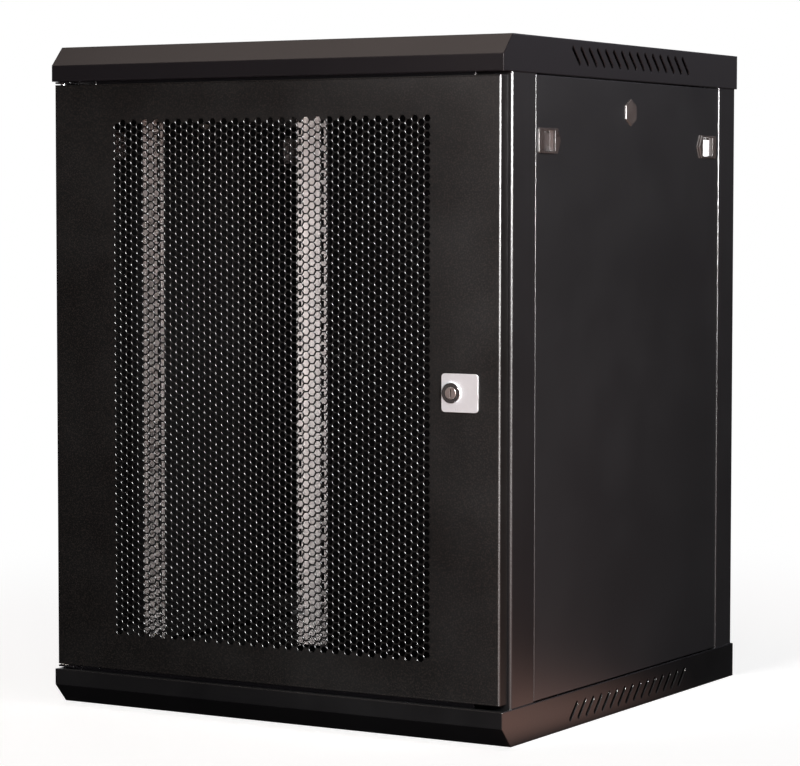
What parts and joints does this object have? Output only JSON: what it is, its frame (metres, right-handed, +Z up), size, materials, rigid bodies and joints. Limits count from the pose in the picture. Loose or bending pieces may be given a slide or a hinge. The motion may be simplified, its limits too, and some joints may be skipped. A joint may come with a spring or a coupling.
{
  "type": "network server rack cabinet",
  "caption": "Wall-mounted rack cabinet with a left-hinged perforated front door, tilt-out side panels, slotted covers and depth-adjustable rails.",
  "frame": {"origin": "centre of the underside of the bottom cover, the plane the cabinet stands on", "axes": "+Z up; the front door faces -Y and the wall side faces +Y; +X to the right as seen from the front"},
  "size_m": [0.6, 0.6009, 0.77],
  "materials": {
    "powder_coat": "fine-textured black powder coat",
    "plate": "satin plated",
    "lock": "nickel plated",
    "brass": "plain",
    "nylon": "matte",
    "rubber": "matte",
    "black_plastic": "semi-gloss moulded",
    "rail_zinc": "zinc coated",
    "zinc_hardware": "bright zinc plated"
  },
  "bodies": {
    "cabinet": {"top_cover": "powder_coat", "bottom_cover": "powder_coat", "front_post_left": "powder_coat", "front_post_right": "powder_coat", "rear_post_left": "powder_coat", "rear_post_right": "powder_coat", "front_header_top": "powder_coat", "front_header_bottom": "powder_coat", "rear_panel": "powder_coat", "top_cable_cover": "powder_coat", "bottom_cable_cover": "powder_coat", "rear_cable_cover": "powder_coat", "cable_cover_screws": "zinc_hardware", "cover_screws": "zinc_hardware", "rear_panel_screws": "zinc_hardware", "depth_bracket_upper_left": "powder_coat", "depth_bracket_upper_right": "powder_coat", "depth_bracket_lower_left": "powder_coat", "depth_bracket_lower_right": "powder_coat", "bracket_screws": "zinc_hardware", "upper_hinge_bracket": "powder_coat", "lower_hinge_bracket": "powder_coat", "lower_hinge_pin": "zinc_hardware", "hinge_washer": "nylon", "hinge_bracket_screws": "zinc_hardware", "frame_earth_stud": "brass"},
    "door": {"door_panel": "powder_coat", "door_stiffener_left": "powder_coat", "door_stiffener_right": "powder_coat", "door_pin_guide": "powder_coat", "lock_plate": "plate", "lock_body": "lock", "lock_nut": "lock", "door_bumpers": "rubber", "door_earth_stud": "brass"},
    "hinge_pin": {"upper_hinge_pin": "zinc_hardware"},
    "lock_cylinder": {"lock_plug": "lock", "lock_cam": "zinc_hardware", "lock_cam_screw": "zinc_hardware"},
    "left_panel": {"side_panel_left": "powder_coat", "latch_bezels_left": "black_plastic", "lock_blank_left": "black_plastic"},
    "left_front_latch": {"latch_front_left": "black_plastic"},
    "left_rear_latch": {"latch_rear_left": "black_plastic"},
    "right_panel": {"side_panel_right": "powder_coat", "latch_bezels_right": "black_plastic", "lock_blank_right": "black_plastic"},
    "right_front_latch": {"latch_front_right": "black_plastic"},
    "right_rear_latch": {"latch_rear_right": "black_plastic"},
    "front_left_rail": {"front_rail_left": "rail_zinc", "front_rail_left_bolts": "zinc_hardware"},
    "front_right_rail": {"front_rail_right": "rail_zinc", "front_rail_right_bolts": "zinc_hardware"},
    "rear_left_rail": {"rear_rail_left": "rail_zinc", "rear_rail_left_bolts": "zinc_hardware"},
    "rear_right_rail": {"rear_rail_right": "rail_zinc", "rear_rail_right_bolts": "zinc_hardware"}
  },
  "joints": [
    {"name": "door_hinge", "type": "hinge", "parent": "cabinet", "child": "door", "pos_m": [-0.2927, -0.288, 0.385], "axis": [0, 0, -1], "range_deg": [0, 180]},
    {"name": "hinge_pin_slide", "type": "slide", "parent": "door", "child": "hinge_pin", "axis": [0, 0, -1], "range_m": [0, 0.01]},
    {"name": "lock_turn", "type": "hinge", "parent": "door", "child": "lock_cylinder", "pos_m": [0.2355, -0.2975, 0.3835], "axis": [0, -1, 0], "range_deg": [0, 90]},
    {"name": "left_panel_tilt", "type": "hinge", "parent": "cabinet", "child": "left_panel", "pos_m": [-0.298, 0.01315, 0.0418], "axis": [0, -1, 0], "range_deg": [0, 35]},
    {"name": "right_panel_tilt", "type": "hinge", "parent": "cabinet", "child": "right_panel", "pos_m": [0.298, 0.01315, 0.0418], "axis": [0, 1, 0], "range_deg": [0, 35]},
    {"name": "left_front_latch_slide", "type": "slide", "parent": "left_panel", "child": "left_front_latch", "axis": [0, -1, 0], "range_m": [0, 0.008]},
    {"name": "left_rear_latch_slide", "type": "slide", "parent": "left_panel", "child": "left_rear_latch", "axis": [0, 1, 0], "range_m": [0, 0.008]},
    {"name": "right_front_latch_slide", "type": "slide", "parent": "right_panel", "child": "right_front_latch", "axis": [0, -1, 0], "range_m": [0, 0.008]},
    {"name": "right_rear_latch_slide", "type": "slide", "parent": "right_panel", "child": "right_rear_latch", "axis": [0, 1, 0], "range_m": [0, 0.008]},
    {"name": "front_left_rail_depth", "type": "slide", "parent": "cabinet", "child": "front_left_rail", "axis": [0, 1, 0], "range_m": [-0.018, 0.2]},
    {"name": "front_right_rail_depth", "type": "slide", "parent": "cabinet", "child": "front_right_rail", "axis": [0, 1, 0], "range_m": [-0.018, 0.2]},
    {"name": "rear_left_rail_depth", "type": "slide", "parent": "cabinet", "child": "rear_left_rail", "axis": [0, 1, 0], "range_m": [-0.06, 0.068]},
    {"name": "rear_right_rail_depth", "type": "slide", "parent": "cabinet", "child": "rear_right_rail", "axis": [0, 1, 0], "range_m": [-0.06, 0.068]}
  ],
  "couplings": [
    {"joint": "front_right_rail_depth", "follows": "front_left_rail_depth", "ratio": 1},
    {"joint": "rear_right_rail_depth", "follows": "rear_left_rail_depth", "ratio": 1}
  ]
}
